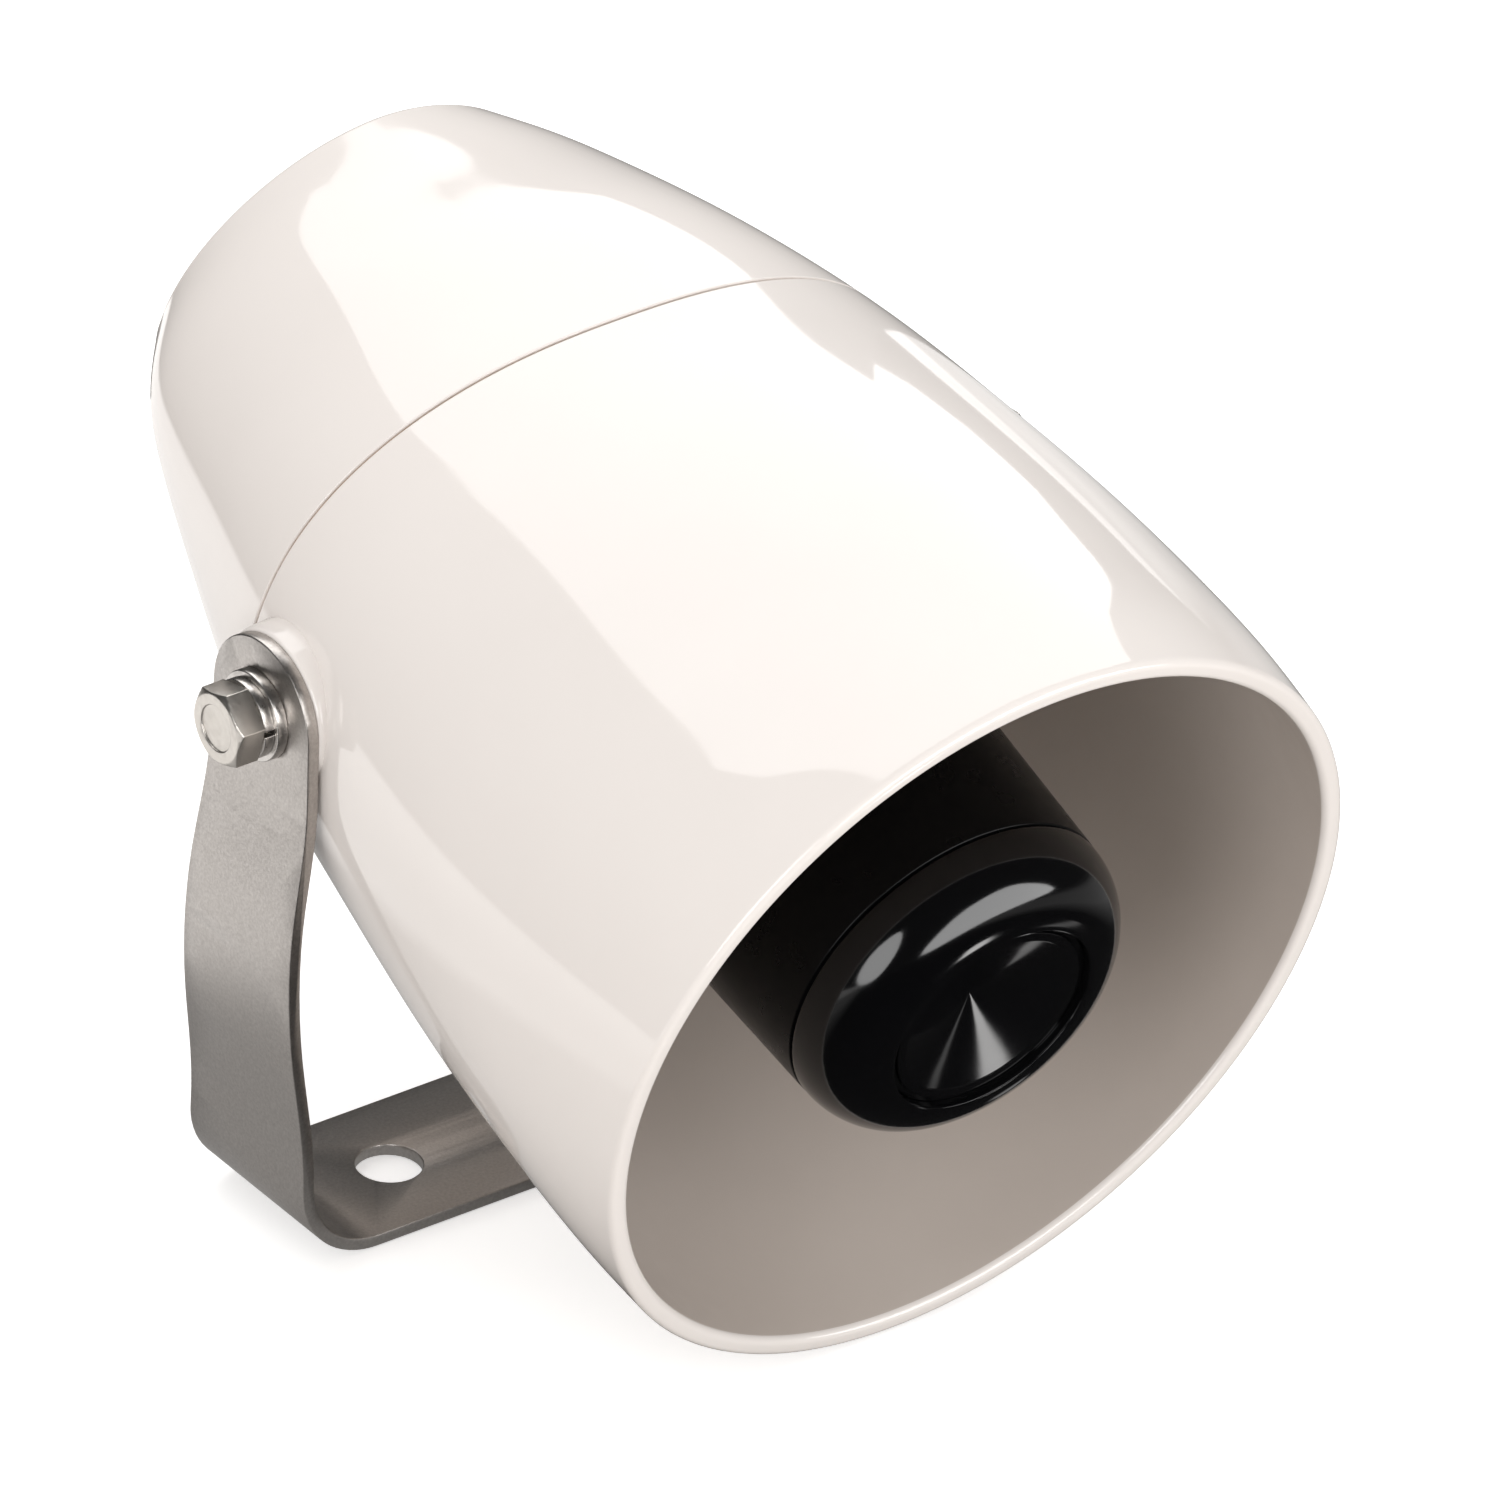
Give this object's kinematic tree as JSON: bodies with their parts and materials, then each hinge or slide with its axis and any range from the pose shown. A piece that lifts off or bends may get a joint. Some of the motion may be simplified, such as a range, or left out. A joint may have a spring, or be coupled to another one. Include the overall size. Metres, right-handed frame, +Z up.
{
  "type": "electronic siren",
  "caption": "Electronic warning siren: a glossy barrel-shaped plastic horn with a black reflector in its mouth, tilting on a U bracket of stainless strip.",
  "frame": {"origin": "on the underside of the bracket's base, midway between its two fixing holes", "axes": "+Z up from the mounting surface, -Y towards the mouth, X along the pivot bolts"},
  "size_m": [0.128, 0.1764, 0.1231],
  "materials": {
    "ivory_plastic": "glossy moulded",
    "stainless_strip": "brushed",
    "stainless_bolt": "bright",
    "stainless_washer": "bright",
    "brass_insert": "machined",
    "gasket_rubber": "matt",
    "black_gloss": "polished",
    "black_matt": "satin",
    "steel_plated": "plated",
    "ferrite": "ground",
    "diaphragm_film": "satin",
    "coil_copper": "wound",
    "clamp_plastic": "satin",
    "board_green": "lacquered",
    "pillar_brass": "machined",
    "terminal_green": "satin",
    "transformer_core": "varnished",
    "capacitor_can": "sleeved",
    "sink_aluminium": "extruded",
    "chip_black": "matt",
    "trimmer_blue": "satin",
    "trimmer_white": "satin",
    "switch_case": "plated",
    "switch_lever": "satin",
    "gland_grey": "satin",
    "gland_rubber": "matt"
  },
  "bodies": {
    "bracket": {"mounting_bracket": "stainless_strip"},
    "siren": {"front_horn": "ivory_plastic", "rear_cover": "ivory_plastic", "seam_gasket": "gasket_rubber", "reflector_cup": "black_gloss", "nose_cap": "black_gloss", "nose_cone": "black_gloss", "cup_screws": "steel_plated", "sound_tube": "black_matt", "tube_screws": "steel_plated", "driver_screws": "steel_plated", "cover_screws": "steel_plated", "diaphragm_ring": "clamp_plastic", "diaphragm_clamp": "clamp_plastic", "diaphragm": "diaphragm_film", "voice_coil": "coil_copper", "top_plate": "steel_plated", "magnet_ring": "ferrite", "back_yoke": "steel_plated", "amplifier_board": "board_green", "board_pillars": "pillar_brass", "board_screws": "steel_plated", "terminal_block": "terminal_green", "transformer": "transformer_core", "capacitors": "capacitor_can", "heat_sink": "sink_aluminium", "power_chips": "chip_black", "volume_base": "trimmer_blue", "selector_base": "switch_case", "gland_body": "gland_grey", "gland_nut": "gland_grey", "gland_seal": "gland_rubber", "gland_cap": "gland_grey", "gland_sleeve": "gland_rubber", "pivot_bolt_right": "stainless_bolt", "spring_washer_right": "stainless_washer", "plain_washer_right": "stainless_washer", "boss_insert_right": "brass_insert", "pivot_bolt_left": "stainless_bolt", "spring_washer_left": "stainless_washer", "plain_washer_left": "stainless_washer", "boss_insert_left": "brass_insert"},
    "volume": {"volume_knob": "trimmer_white"},
    "selector": {"selector_lever": "switch_lever"}
  },
  "joints": [
    {"name": "tilt", "type": "hinge", "parent": "bracket", "child": "siren", "pos_m": [0, 0, 0.08], "axis": [1, 0, 0], "range_deg": [-75, 17]},
    {"name": "volume_turn", "type": "hinge", "parent": "siren", "child": "volume", "pos_m": [0.0125, 0.04071, 0.08259], "axis": [0, 0.9662, 0.258], "range_deg": [-135, 135]},
    {"name": "selector_slide", "type": "slide", "parent": "siren", "child": "selector", "axis": [1, 0, 0], "range_m": [0, 0.0044]}
  ]
}
